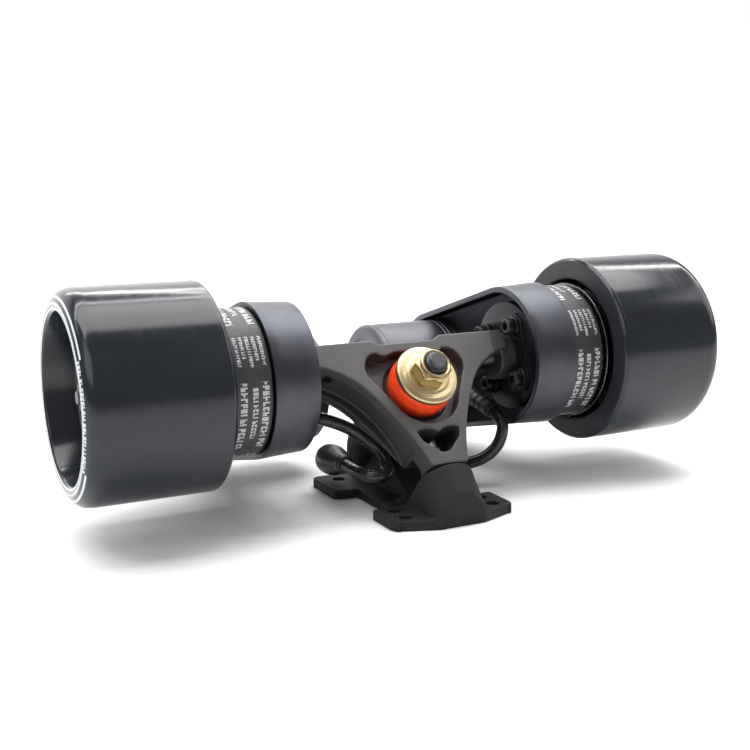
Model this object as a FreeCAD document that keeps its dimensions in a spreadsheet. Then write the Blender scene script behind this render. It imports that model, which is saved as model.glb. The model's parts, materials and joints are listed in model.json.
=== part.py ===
import FreeCAD, Part
import math
import os

import Sketcher
from FreeCAD import Placement, Rotation, Vector

# Rear truck of a belt-driven electric skateboard, standing on its baseplate.
# Millimetres. X runs along the axle, Z is up, and z = 0 is the face that meets the deck.
# The origin is the centre of the outer deck bolt pattern.

DIMS = {
    # where the axle, the steering ring and the motor sit
    "axle_setback": 11.5,
    "axle_height": 57.3,
    "kingpin_angle": 50.0,
    "axle_rise": 15.6,
    "axle_drop": 2.1,
    "motor_reach": 66.6,
    "motor_angle": -15.5,
    # baseplate
    "plate_thick": 4.0,
    "plate_half_width": 30.5,
    "plate_front": 42.4,
    "plate_rear": 40.0,
    "waist_half_width": 20.5,
    "hole_radius": 2.75,
    "hole_half_width": 20.64,
    "hole_outer": 31.75,
    "hole_inner": 22.22,
    "boss_radius": 14.0,
    "boss_top": 20.0,
    "boss_rear": 37.5,
    "housing_half_width": 13.0,
    "housing_height": 11.4,
    "rim_depth": 38.8,
    "cup_radius": 9.5,
    "cup_depth": 12.0,
    # kingpin stack, measured from the steering ring's centre
    "kingpin_radius": 4.75,
    "kingpin_seat": 40.0,
    "kingpin_end": 28.8,
    "kingpin_head": 8.2,
    "bushing_bore": 4.9,
    "washer_radius": 13.7,
    "washer_top": 18.0,
    "nut_corner": 8.2,
    # hanger casting, measured from the steering ring's centre
    "face_front": 10.0,
    "face_rear": 14.0,
    "beam_top": 22.6,
    "beam_low": 13.4,
    "beam_half": 48.4,
    "recess_top": 20.3,
    "nose_half": 8.5,
    "nose_y": 38.0,
    "web_half": 3.5,
    "seat_radius": 14.6,
    "seat_depth": 1.0,
    "ring_bore": 7.0,
    "groove_front": 5.0,
    "groove_rear": 9.5,
    "end_boss_radius": 10.5,
    "end_boss_x": 63.0,
    "pin_radius": 6.5,
    "pin_end": 49.2,
    # axle line
    "axle_radius": 4.0,
    "axle_end": 140.0,
    "sleeve_radius": 6.5,
    "sleeve_end": 99.35,
    "nut_start": 131.7,
    "nut_end": 138.7,
    # motor mount
    "pad_inner": 53.5,
    "pad_half": 17.5,
    "flange_inner": 55.0,
    "web_inner": 60.0,
    "web_outer": 64.0,
    "flange_radius": 24.5,
    "bolt_square": 11.7,
    "shell_inner": 51.6,
    "shell_outer": 70.9,
    "shell_radius": 31.3,
    "shell_tail": 29.4,
    "shell_draft": 3.2,
    "shell_wall": 2.6,
    # belt drive
    "belt_inner": 71.4,
    "belt_outer": 86.4,
    "belt_thick": 2.0,
    "belt_clearance": 0.32,
    "pulley_inner": 71.0,
    "shaft_opening": 10.0,
    "wheel_teeth": 36,
    "motor_teeth": 15,
    "tooth_pitch": 5.0,
    "tooth_height": 2.06,
    "tip_inset": 0.57,
    # wheel
    "wheel_radius": 42.5,
    "wheel_inner": 90.0,
    "wheel_outer": 146.2,
    "core_radius": 27.5,
    "core_inner": 98.0,
    "core_outer": 132.0,
    "bearing_radius": 11.0,
    "bearing_width": 7.0,
    "outer_bearing": 124.0,
    "inner_bearing": 100.0,
    # motor
    "motor_radius": 26.0,
    "motor_wall": 2.0,
    "motor_inner": 15.5,
    "case_inner": 19.0,
    "case_outer": 57.5,
    "shaft_radius": 4.0,
    "shaft_end": 88.5,
    "rotor_radius": 14.6,
    "screw_circle": 16.0,
    # cables
    "cable_radius": 2.75,
    "relief_radius": 3.75,
    "plug_radius": 6.9,
}

# Routes of the two motor cables: where each leaves its strain relief, to where its plug begins.
LEFT_ROUTE = [
    (-44.0, 20.0, 39.0),
    (-38.5, 13.5, 37.8),
    (-31.0, 11.5, 35.2),
    (-24.0, 11.0, 31.7),
    (-17.8, 8.0, 27.0),
    (-13.8, 2.5, 21.8),
    (-13.6, -4.0, 17.0),
    (-18.0, -8.0, 14.4),
    (-24.0, -5.0, 14.8),
    (-26.6, 3.0, 15.8),
    (-26.9, 11.0, 16.2),
]
RIGHT_ROUTE = [
    (47.4, 10.0, 32.3),
    (48.6, 3.5, 29.0),
    (47.6, 2.5, 22.0),
    (44.5, 4.0, 15.5),
    (39.0, 6.5, 11.2),
    (33.0, 10.0, 9.2),
    (28.5, 15.5, 9.6),
    (26.6, 22.0, 10.4),
]
LEFT_MOTOR_EXIT = (-41.9, 49.3, 43.2)
RIGHT_MOTOR_EXIT = (41.8, 48.9, 43.4)
LEFT_PLUG_END = (-25.6, 34.0, 14.2)
RIGHT_PLUG_END = (26.4, 45.0, 11.2)
ARC_SHARE = 0.45

COS_K = math.cos(math.radians(DIMS["kingpin_angle"]))
SIN_K = math.sin(math.radians(DIMS["kingpin_angle"]))
TOOTH_TO_RADIUS = DIMS["tooth_pitch"] / (2 * math.pi)

# sizes that follow from the driving ones
DIMS["ring_y"] = DIMS["axle_setback"] - DIMS["axle_rise"] * COS_K - DIMS["axle_drop"] * SIN_K
DIMS["ring_z"] = DIMS["axle_height"] - DIMS["axle_rise"] * SIN_K + DIMS["axle_drop"] * COS_K
DIMS["wheel_tip"] = DIMS["wheel_teeth"] * TOOTH_TO_RADIUS - DIMS["tip_inset"]
DIMS["motor_tip"] = DIMS["motor_teeth"] * TOOTH_TO_RADIUS - DIMS["tip_inset"]
DIMS["belt_in_wheel"] = DIMS["wheel_tip"] + DIMS["belt_clearance"]
DIMS["belt_in_motor"] = DIMS["motor_tip"] + DIMS["belt_clearance"]
DIMS["belt_out_wheel"] = DIMS["belt_in_wheel"] + DIMS["belt_thick"]
DIMS["belt_out_motor"] = DIMS["belt_in_motor"] + DIMS["belt_thick"]
DIMS["cavity_radius"] = DIMS["shell_radius"] - DIMS["shell_wall"]
DIMS["cavity_tail"] = DIMS["shell_tail"] - DIMS["shell_wall"]
DIMS["end_boss_bore"] = DIMS["end_boss_radius"] + 0.05

SIDES = {"left": -1, "right": 1}

doc = FreeCAD.newDocument("SkateboardTruck")
sheet = doc.addObject("Spreadsheet::Sheet", "Dim")
for row, (alias, number) in enumerate(DIMS.items(), start=1):
    sheet.set("A%d" % row, alias)
    sheet.set("B%d" % row, repr(round(float(number), 5)))
    sheet.setAlias("B%d" % row, alias)
doc.recompute()

# Frames that the sub-parts are drawn in: the deck face, the steering ring (Z along the kingpin),
# the axle and the motor (Y from the axle to the motor).
BASE = Placement()
RING = Placement(Vector(0, DIMS["ring_y"], DIMS["ring_z"]), Rotation(Vector(1, 0, 0), DIMS["kingpin_angle"]))
AXLE = Placement(
    Vector(0, DIMS["axle_setback"], DIMS["axle_height"]),
    Rotation(Vector(1, 0, 0), DIMS["motor_angle"]),
)
MOTOR = AXLE.multiply(Placement(Vector(0, DIMS["motor_reach"], 0), Rotation()))
FACING_Y = Rotation(Vector(1, 0, 0), -90)
IN_SIDE_VIEW = Placement(
    Vector(DIMS["ring_y"], DIMS["ring_z"], 0),
    Rotation(Vector(0, 0, 1), DIMS["kingpin_angle"]),
)

subparts = []


# ---------------------------------------------------------------- helpers


def value(size):
    """A plain number, or the sheet's value for an alias with an optional minus sign."""
    if not isinstance(size, str):
        return float(size)
    number = float(sheet.get(size.lstrip("-")))
    return -number if size.startswith("-") else number


def formula(size):
    if not isinstance(size, str):
        return repr(float(size))
    return size.replace("-", "-Dim.") if size.startswith("-") else "Dim." + size


def bind(target, path, size):
    if isinstance(size, str):
        target.setExpression(path, formula(size))


def signed(side, size):
    """The same size on the left (negative X) or right side."""
    if side > 0:
        return size
    return "-" + size if isinstance(size, str) else -size


def new_body(label, placement):
    body = doc.addObject("PartDesign::Body", label)
    body.Label = label
    body.Placement = placement
    subparts.append(body)
    return body


def new_sketch(body, plane, offset=None, offset_size=None):
    """A sketch on one of the body's own origin planes, shifted along its normal or placed freely."""
    sketch = body.newObject("Sketcher::SketchObject", "Sketch")
    origin_plane = [feature for feature in body.Origin.OriginFeatures if feature.Role == plane][0]
    sketch.AttachmentSupport = [(origin_plane, "")]
    sketch.MapMode = "FlatFace"
    if offset is not None:
        sketch.AttachmentOffset = offset
    if offset_size is not None:
        sketch.AttachmentOffset = Placement(Vector(0, 0, value(offset_size)), Rotation())
        bind(sketch, "AttachmentOffset.Base.z", offset_size)
    return sketch


def fix_point(sketch, geometry, vertex, x, y):
    for kind, size in (("DistanceX", x), ("DistanceY", y)):
        number = sketch.addConstraint(Sketcher.Constraint(kind, -1, 1, geometry, vertex, value(size)))
        bind(sketch, "Constraints[%d]" % number, size)


def circle(sketch, radius, x=0, y=0):
    centre = Vector(value(x), value(y), 0)
    geometry = sketch.addGeometry(Part.Circle(centre, Vector(0, 0, 1), value(radius)))
    number = sketch.addConstraint(Sketcher.Constraint("Radius", geometry, value(radius)))
    bind(sketch, "Constraints[%d]" % number, radius)
    fix_point(sketch, geometry, 3, x, y)


def arc_through(start, end, sagitta):
    """The middle point of an arc that stands off its chord, to the left when sagitta is positive."""
    chord = end - start
    left = Vector(-chord.y, chord.x, 0).normalize()
    return (start + end) * 0.5 + left * sagitta


def polygon(sketch, vertices):
    """A closed outline. A vertex is (x, y), or (x, y, sagitta) where an arc runs to the next one."""
    points = [Vector(value(vertex[0]), value(vertex[1]), 0) for vertex in vertices]
    edges = []
    for index, vertex in enumerate(vertices):
        start, end = points[index], points[(index + 1) % len(points)]
        if len(vertex) == 3:
            middle = arc_through(start, end, vertex[2])
            arc = Part.Arc(start, middle, end)
            radius = arc.toShape().Curve.Radius
            geometry = sketch.addGeometry(arc)
            forward = sketch.getPoint(geometry, 1).distanceToPoint(start) < 1e-6
            ends = (1, 2) if forward else (2, 1)
            sketch.addConstraint(Sketcher.Constraint("Radius", geometry, radius))
        else:
            geometry = sketch.addGeometry(Part.LineSegment(start, end))
            ends = (1, 2)
        edges.append((geometry, ends))
    for index, (geometry, ends) in enumerate(edges):
        following, following_ends = edges[(index + 1) % len(edges)]
        sketch.addConstraint(
            Sketcher.Constraint("Coincident", geometry, ends[1], following, following_ends[0])
        )
    for (geometry, ends), vertex in zip(edges, vertices):
        fix_point(sketch, geometry, ends[0], vertex[0], vertex[1])


def mirrored(half):
    """A symmetric outline from its right half, listed from one end of the middle line to the other."""
    other = []
    for index in range(len(half) - 1, -1, -1):
        x, y = half[index][0], half[index][1]
        if value(x) == 0:
            continue
        bulge = half[index - 1][2:] if index > 0 else ()
        other.append((signed(-1, x), y) + tuple(bulge))
    return list(half) + other


def hexagon(sketch, corner_radius):
    corner = value(corner_radius)
    angles = [math.radians(60 * step) for step in range(6)]
    polygon(sketch, [(corner * math.cos(angle), corner * math.sin(angle)) for angle in angles])


def belt_line(sketch, near_radius, far_radius):
    """Two circles, at the axle and at the motor, wrapped by their outer tangents."""
    near, far, reach = value(near_radius), value(far_radius), value("motor_reach")
    angle = math.acos((near - far) / reach)
    x_axis = Vector(0, 0, 1)
    near_arc = Part.ArcOfCircle(Part.Circle(Vector(), x_axis, near), angle, 2 * math.pi - angle)
    far_arc = Part.ArcOfCircle(Part.Circle(Vector(reach, 0, 0), x_axis, far), -angle, angle)
    tangent = Vector(math.cos(angle), math.sin(angle), 0)
    below = Vector(tangent.x, -tangent.y, 0)
    far_centre = Vector(reach, 0, 0)
    top = Part.LineSegment(far_centre + tangent * far, tangent * near)
    bottom = Part.LineSegment(below * near, far_centre + below * far)
    first = sketch.addGeometry([near_arc, bottom, far_arc, top])[0]
    for pair in ((first, first + 1), (first + 1, first + 2), (first + 2, first + 3), (first + 3, first)):
        sketch.addConstraint(Sketcher.Constraint("Tangent", pair[0], 2, pair[1], 1))
    for geometry, radius, centre in ((first, near_radius, 0), (first + 2, far_radius, "motor_reach")):
        number = sketch.addConstraint(Sketcher.Constraint("Radius", geometry, value(radius)))
        bind(sketch, "Constraints[%d]" % number, radius)
        fix_point(sketch, geometry, 3, centre, 0)


def add_feature(body, kind, sketch, length, backwards, both_ways=False):
    """Pad or pocket a sketch along its normal, or against it when backwards is set."""
    before = body.Shape.Volume if body.Tip else 0.0
    feature = body.newObject("PartDesign::" + kind, kind)
    feature.Profile = sketch
    feature.Length = value(length) if not isinstance(length, tuple) else value(length[1]) - value(length[0])
    if isinstance(length, tuple):
        feature.setExpression("Length", "%s - (%s)" % (formula(length[1]), formula(length[0])))
    else:
        bind(feature, "Length", length)
    if both_ways:
        feature.Midplane = True
    feature.Reversed = backwards if kind == "Pad" else not backwards
    doc.recompute()
    change = body.Shape.Volume - before
    if (kind == "Pad") != (change > 1e-6):
        raise RuntimeError("%s on %s changed its volume by %.3f" % (kind, body.Label, change))
    return feature


def pad(body, sketch, length, backwards=False, both_ways=False):
    return add_feature(body, "Pad", sketch, length, backwards, both_ways)


def pocket(body, sketch, length, backwards=True, both_ways=False):
    return add_feature(body, "Pocket", sketch, length, backwards, both_ways)


def slab(body, side, start, end, draw, kind="Pad"):
    """Material, or a cut, between two distances from the middle plane on one side."""
    sketch = new_sketch(body, "YZ_Plane", offset_size=signed(side, start))
    draw(sketch)
    return add_feature(body, kind, sketch, (start, end), backwards=side < 0)


def turn(body, vertices, plane="XY_Plane", axis="H_Axis"):
    """A revolved solid from its half section."""
    sketch = new_sketch(body, plane)
    polygon(sketch, vertices)
    feature = body.newObject("PartDesign::Revolution", "Revolution")
    feature.Profile = sketch
    feature.ReferenceAxis = (sketch, [axis])
    feature.Angle = 360
    doc.recompute()
    return feature


def turn_on_axle(body, side, vertices):
    """A solid of revolution about X from (distance from the middle plane, radius) pairs."""
    turn(body, [(signed(side, vertex[0]), vertex[1]) + tuple(vertex[2:]) for vertex in vertices])


def ring_of_cuts(body, feature, count):
    """Repeat a cut evenly about the body's X axis."""
    pattern = body.newObject("PartDesign::PolarPattern", "PolarPattern")
    pattern.Originals = [feature]
    x_axis = [item for item in body.Origin.OriginFeatures if item.Role == "X_Axis"][0]
    pattern.Axis = (x_axis, [""])
    pattern.Angle = 360
    pattern.Occurrences = count
    body.Tip = pattern
    doc.recompute()


def four_corners(sketch, radius, half):
    for y_sign in ("", "-"):
        for z_sign in ("", "-"):
            circle(sketch, radius, y_sign + half, z_sign + half)


def group(label, shapes, placement):
    """Several identical solids in one node."""
    feature = doc.addObject("Part::Feature", label)
    feature.Label = label
    feature.Shape = Part.makeCompound(shapes)
    feature.Placement = placement
    subparts.append(feature)


def cylinder(start, end, radius, y=0.0, z=0.0):
    low, high = min(start, end), max(start, end)
    return Part.makeCylinder(radius, high - low, Vector(low, y, z), Vector(1, 0, 0))


# ---------------------------------------------------------------- baseplate and kingpin stack


def baseplate():
    body = new_body("baseplate", BASE)
    plate = new_sketch(body, "XY_Plane")
    polygon(
        plate,
        mirrored(
            [
                (11.0, "-plate_front"),
                (25.0, -38.0, -0.9),
                (28.6, -32.5),
                (28.6, -18.0),
                (27.2, -16.4),
                ("waist_half_width", -15.4, 0.4),
                ("waist_half_width", 13.2),
                (28.8, 14.6, -0.5),
                ("plate_half_width", 16.4),
                ("plate_half_width", 37.0, -0.8),
                (27.6, "plate_rear"),
            ]
        ),
    )
    pad(body, plate, "plate_thick")

    spine = new_sketch(body, "YZ_Plane")
    polygon(spine, [(-13, 2), ("boss_rear", 2), ("boss_rear", 15), (15.0, 33.0), (7.0, 23.8), (-9.0, 6.4)])
    pad(body, spine, 18.0, both_ways=True)

    boss = new_sketch(body, "XY_Plane", offset=RING.multiply(Placement(Vector(0, 0, -value("boss_top")), Rotation())))
    circle(boss, "boss_radius")
    pad(body, boss, 34.0, backwards=True)

    rim = RING.multiply(Placement(Vector(0, -value("rim_depth"), 0), FACING_Y))
    housing = new_sketch(body, "XY_Plane", offset=rim)
    side, crown = value("housing_half_width"), value("housing_height")
    polygon(housing, [(-side, -2.0, 2.0 - crown), (side, -2.0), (13.4, 8.0), (14.2, 26.0), (-14.2, 26.0), (-13.4, 8.0)])
    pad(body, housing, 34.0, backwards=True)
    slanted_rim = new_sketch(body, "YZ_Plane", offset=IN_SIDE_VIEW)
    polygon(slanted_rim, [(-38.6, 12.0), (-43.6, -10.0), (-43.6, -17.0), (-22.0, -17.0), (-22.0, 12.0)])
    pocket(body, slanted_rim, 60.0, both_ways=True)

    trims = (
        ("XY_Plane", None, [(-50, -80), (50, -80), (50, 80), (-50, 80)], True),
        ("XY_Plane", None, [(10.8, "-plate_front"), (26.0, -36.5), (26.0, -70), (10.8, -70)], False),
        ("XY_Plane", None, [(-10.8, "-plate_front"), (-26.0, -36.5), (-26.0, -70), (-10.8, -70)], False),
        ("XZ_Plane", "plate_front", [(-40, -40), (40, -40), (40, 60), (-40, 60)], False),
        ("XZ_Plane", "-boss_rear", [(-40, 4), (40, 4), (40, 60), (-40, 60)], True),
    )
    for plane, offset, outline, backwards in trims:
        trim = new_sketch(body, plane, offset_size=offset)
        polygon(trim, outline)
        pocket(body, trim, 60.0, backwards)

    cup = new_sketch(body, "XY_Plane", offset=rim)
    circle(cup, 9.55)
    pocket(body, cup, "cup_depth")

    seat = new_sketch(body, "XY_Plane", offset=RING.multiply(Placement(Vector(0, 0, -value("kingpin_seat")), Rotation())))
    circle(seat, 8.7)
    pocket(body, seat, 13.0)
    bore = new_sketch(body, "XY_Plane", offset=RING)
    circle(bore, 4.8)
    pocket(body, bore, 45.0)

    holes = new_sketch(body, "XY_Plane", offset_size="plate_thick")
    for x_sign in ("", "-"):
        for y in ("hole_outer", "-hole_outer", "-hole_inner"):
            circle(holes, "hole_radius", x_sign + "hole_half_width", y)
    pocket(body, holes, 10.0)


def pivot_cup():
    body = new_body("pivot_cup", RING)
    turn(
        body,
        [
            (0, -50.7),
            (8.6, -50.7),
            ("cup_radius", -49.8),
            ("cup_radius", -38.8),
            (8.9, -38.2),
            (6.9, -38.2),
            (6.7, -49.6),
            (0, -49.6),
        ],
        axis="V_Axis",
    )


def kingpin():
    body = new_body("kingpin", RING)
    head = new_sketch(body, "XY_Plane", offset_size="-kingpin_seat")
    hexagon(head, "kingpin_head")
    pad(body, head, 6.0, backwards=True)
    shank = new_sketch(body, "XY_Plane", offset_size="-kingpin_seat")
    circle(shank, "kingpin_radius")
    pad(body, shank, ("-kingpin_seat", "kingpin_end"))


def kingpin_nut():
    body = new_body("kingpin_nut", RING)
    flats = new_sketch(body, "XY_Plane", offset_size=18.05)
    hexagon(flats, "nut_corner")
    circle(flats, 4.8)
    pad(body, flats, 6.0)
    collar = new_sketch(body, "XY_Plane", offset_size=24.05)
    circle(collar, 6.7)
    circle(collar, 4.8)
    pad(body, collar, 2.4)


def turned_on_kingpin(label, vertices):
    body = new_body(label, RING)
    turn(body, vertices, plane="XZ_Plane", axis="V_Axis")


def kingpin_stack():
    turned_on_kingpin(
        "road_washer",
        [
            ("bushing_bore", 15.6),
            (12.3, 15.6),
            (12.9, 14.6),
            ("washer_radius", 14.6),
            ("washer_radius", 16.6, 0.3),
            (12.3, "washer_top"),
            ("bushing_bore", "washer_top"),
        ],
    )
    turned_on_kingpin(
        "board_washer",
        [("bushing_bore", -19.95), (13.6, -19.95), (13.6, -17.7), ("bushing_bore", -17.7)],
    )
    turned_on_kingpin(
        "road_bushing",
        [("bushing_bore", 2.55), (12.9, 2.55), (13.7, 4.2, -0.5), (12.2, 15.5), ("bushing_bore", 15.5)],
    )
    turned_on_kingpin(
        "board_bushing",
        [
            ("bushing_bore", -17.6),
            (12.6, -17.6),
            (13.4, -15.6, -0.3),
            (13.2, -10.0),
            (11.4, -6.6),
            (11.0, -3.6),
            ("bushing_bore", -3.6),
        ],
    )


# ---------------------------------------------------------------- hanger and axle


def hanger():
    body = new_body("hanger", RING)
    outline = new_sketch(body, "XY_Plane", offset_size="-face_rear")
    polygon(
        outline,
        mirrored(
            [
                (13.0, "recess_top"),
                (16.5, "beam_top"),
                ("beam_half", "beam_top"),
                ("beam_half", "beam_low", -3.6),
                (22.6, -6.0, -1.4),
                ("nose_half", "-nose_y"),
            ]
        ),
    )
    pad(body, outline, ("-face_rear", "face_front"))

    window = mirrored(
        [
            (8.0, 15.9),
            (11.9, 14.4, -0.5),
            (15.6, 16.0, 1.2),
            (22.0, 12.8, 1.6),
            (21.6, 3.2),
            (15.0, -8.4, 10.6),
        ]
    )
    front_window = new_sketch(body, "XY_Plane", offset_size="face_front")
    polygon(front_window, window)
    pocket(body, front_window, ("web_half", "face_front"))
    rear_window = new_sketch(body, "XY_Plane", offset_size="-face_rear")
    polygon(rear_window, window)
    pocket(body, rear_window, ("web_half", "face_rear"), backwards=False)

    grooves = new_sketch(body, "XY_Plane", offset_size="groove_front")
    for sign in (1, -1):
        polygon(
            grooves,
            [
                (sign * 46.0, 8.0),
                (sign * 46.0, 16.2, sign * -3.4),
                (sign * 18.4, -4.4, sign * -1.2),
                (sign * 10.6, -27.0),
                (sign * 14.0, -36.0),
                (sign * 34.0, -20.0),
            ],
        )
    pocket(body, grooves, ("-groove_rear", "groove_front"))

    taper = new_sketch(body, "YZ_Plane")
    polygon(taper, [(-6.0, -14.1), (-39.0, -7.6), (-39.0, -20.0), (-6.0, -20.0)])
    pocket(body, taper, 60.0, both_ways=True)

    nose_sides = new_sketch(body, "XZ_Plane", offset_size=30.0)
    for sign in (1, -1):
        polygon(nose_sides, [(sign * 20, 0), (sign * 8.9, 0), (sign * 3.0, -9.0), (sign * 3.0, -16), (sign * 20, -16)])
    pocket(body, nose_sides, 12.0, backwards=False)

    slot = new_sketch(body, "XY_Plane", offset_size="face_front")
    polygon(
        slot,
        mirrored(
            [
                (0, -23.4, 1.0),
                (8.6, -21.6, 0.5),
                (9.7, -23.0),
                (8.6, -26.4),
                (2.4, -32.0, 0.7),
            ]
        ),
    )
    pocket(body, slot, 40.0)

    rear_slot = new_sketch(body, "XY_Plane", offset_size="-face_rear")
    polygon(rear_slot, mirrored([(0, -14.0), (9.8, -15.0), (8.6, -22.0), (3.4, -31.6)]))
    pocket(body, rear_slot, ("web_half", "face_rear"), backwards=False)

    seat = new_sketch(body, "XY_Plane", offset_size="web_half")
    circle(seat, "seat_radius")
    pocket(body, seat, "seat_depth")
    bore = new_sketch(body, "XY_Plane", offset_size="web_half")
    circle(bore, "ring_bore")
    pocket(body, bore, 20.0)

    for side in SIDES.values():
        end = new_sketch(body, "YZ_Plane", offset_size=signed(side, 46.0))
        circle(end, "end_boss_radius", "axle_rise", "-axle_drop")
        pad(body, end, (46.0, "end_boss_x"), backwards=side < 0)
    axle_bore = new_sketch(body, "YZ_Plane")
    circle(axle_bore, 4.02, "axle_rise", "-axle_drop")
    pocket(body, axle_bore, 140.0, both_ways=True)

    nose = new_sketch(body, "XY_Plane")
    polygon(
        nose,
        [
            (0, -33.6),
            (7.4, -33.6),
            ("nose_half", -36.6),
            ("pin_radius", -37.8),
            ("pin_radius", -47.0),
            (4.6, "-pin_end"),
            (0, "-pin_end"),
        ],
    )
    pin = body.newObject("PartDesign::Revolution", "Revolution")
    pin.Profile = nose
    pin.ReferenceAxis = (nose, ["V_Axis"])
    pin.Angle = 360
    doc.recompute()


def axle():
    body = new_body("axle", AXLE)
    rod = new_sketch(body, "YZ_Plane")
    circle(rod, "axle_radius")
    pad(body, rod, 2 * value("axle_end"), both_ways=True)


def axle_fasteners():
    """Nuts and speed rings at both ends of the axle."""
    nuts, rings = [], []
    corner, bore = 7.5, value("axle_radius") + 0.02
    hexagon_wire = Part.makePolygon(
        [Vector(0, corner * math.cos(math.radians(60 * k)), corner * math.sin(math.radians(60 * k))) for k in range(7)]
    )
    for side in SIDES.values():
        start, end = side * value("nut_start"), side * value("nut_end")
        blank = Part.Face(hexagon_wire).extrude(Vector(end - start, 0, 0))
        blank.translate(Vector(start, 0, 0))
        nuts.append(blank.cut(cylinder(start, end, bore)))
        for ring_start, ring_end in ((99.4, 99.95), (131.05, 131.65)):
            ring = cylinder(side * ring_start, side * ring_end, value("sleeve_radius"))
            rings.append(ring.cut(cylinder(side * ring_start, side * ring_end, bore)))
    group("axle_nuts", nuts, AXLE)
    group("speed_rings", rings, AXLE)


# ---------------------------------------------------------------- motor mount, motor and belt


def drive_housing(name, side):
    body = new_body(name + "_drive_housing", AXLE)

    def skirt(sketch):
        belt_line(sketch, "shell_radius", "shell_tail")

    def cavity(sketch):
        belt_line(sketch, "cavity_radius", "cavity_tail")

    def openings(sketch):
        circle(sketch, "end_boss_bore")
        circle(sketch, "shaft_opening", "motor_reach", 0)
        four_corners(sketch, 2.1, "bolt_square")
        reach, offset = value("motor_reach"), value("screw_circle") / math.sqrt(2)
        for y_sign in (1, -1):
            for z_sign in (1, -1):
                circle(sketch, 2.1, reach + y_sign * offset, z_sign * offset)

    shell = slab(body, side, "shell_inner", "shell_outer", skirt)
    shell.TaperAngle = value("shell_draft")
    bind(shell, "TaperAngle", "shell_draft")
    slab(body, side, "shell_inner", "web_inner", cavity, "Pocket")
    slab(body, side, "web_outer", "shell_outer", cavity, "Pocket")
    slab(body, side, "web_inner", "web_outer", openings, "Pocket")


def mount_flange(name, side):
    body = new_body(name + "_mount_flange", AXLE)
    half, cut = value("pad_half"), 4.0

    def disc(sketch):
        circle(sketch, "flange_radius")

    def raised_pad(sketch):
        corners = [(half, half - cut), (half - cut, half), (cut - half, half), (-half, half - cut)]
        polygon(sketch, corners + [(-y, -z) for y, z in corners])

    def openings(sketch):
        circle(sketch, "end_boss_bore")
        four_corners(sketch, 2.1, "bolt_square")

    slab(body, side, "flange_inner", "web_inner", disc)
    slab(body, side, "pad_inner", "flange_inner", raised_pad)
    slab(body, side, "pad_inner", "web_inner", openings, "Pocket")


def mount_bolts():
    """Socket screws with washers that hold each drive housing to the hanger, and each motor to its web."""
    bolts, screws = [], []
    square = value("bolt_square")
    offset = value("screw_circle") / math.sqrt(2)
    reach = value("motor_reach")
    for side in SIDES.values():
        for y_sign in (1, -1):
            for z_sign in (1, -1):
                y, z = y_sign * square, z_sign * square
                washer = cylinder(side * 52.4, side * 53.5, 4.6, y, z)
                head = cylinder(side * 48.6, side * 52.4, 3.75, y, z)
                socket = cylinder(side * 48.6, side * 50.6, 1.7, y, z)
                shank = cylinder(side * 53.5, side * 65.0, 2.0, y, z)
                bolts.append(washer.fuse(head).fuse(shank).cut(socket))
                y, z = reach + y_sign * offset, z_sign * offset
                head = cylinder(side * 64.0, side * 66.8, 3.4, y, z)
                shank = cylinder(side * 57.6, side * 64.0, 1.95, y, z)
                socket = cylinder(side * 65.2, side * 66.8, 1.5, y, z)
                screws.append(head.fuse(shank).cut(socket))
    group("mount_bolts", bolts, AXLE)
    group("motor_screws", screws, AXLE)


def axle_sleeve(name, side):
    body = new_body(name + "_axle_sleeve", AXLE)
    turn_on_axle(body, side, [(63.1, 4.03), ("sleeve_end", 4.03), ("sleeve_end", "sleeve_radius"), (63.1, "sleeve_radius")])


def motor(name, side):
    case = new_body(name + "_motor_case", MOTOR)
    inner = value("motor_radius") - value("motor_wall")
    turn_on_axle(
        case,
        side,
        [("case_inner", inner), ("case_outer", inner), ("case_outer", "motor_radius"), ("case_inner", "motor_radius")],
    )

    cap = new_body(name + "_motor_end_cap", MOTOR)
    turn_on_axle(
        cap,
        side,
        [
            (16.3, 0),
            (16.3, 19.4),
            ("motor_inner", 20.4),
            ("motor_inner", 24.6),
            (16.9, "motor_radius"),
            ("case_inner", "motor_radius"),
            ("case_inner", 13.0),
            (26.0, 13.0),
            (26.0, 11.02),
            ("case_inner", 11.02),
            ("case_inner", 0),
        ],
    )

    plate = new_body(name + "_motor_front_plate", MOTOR)
    turn_on_axle(
        plate,
        side,
        [
            ("web_inner", 8.0),
            ("web_inner", "motor_radius"),
            ("case_outer", "motor_radius"),
            ("case_outer", 13.0),
            (50.4, 13.0),
            (50.4, 11.02),
            (57.4, 11.02),
            (57.4, 8.0),
        ],
    )

    def threads(sketch):
        offset = value("screw_circle") / math.sqrt(2)
        for y_sign in (1, -1):
            for z_sign in (1, -1):
                circle(sketch, 2.0, y_sign * offset, z_sign * offset)

    slab(plate, side, "case_outer", "web_inner", threads, "Pocket")

    stator = new_body(name + "_motor_stator", MOTOR)
    turn_on_axle(stator, side, [(28.0, 15.2), (48.0, 15.2), (48.0, 23.9), (28.0, 23.9)])

    rings = []
    for start, end in ((19.05, 25.9), (50.5, 57.35)):
        outer = cylinder(side * start, side * end, value("bearing_radius"))
        rings.append(outer.cut(cylinder(side * start, side * end, value("shaft_radius") + 0.02)))
    group(name + "_motor_bearings", rings, MOTOR)


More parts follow.
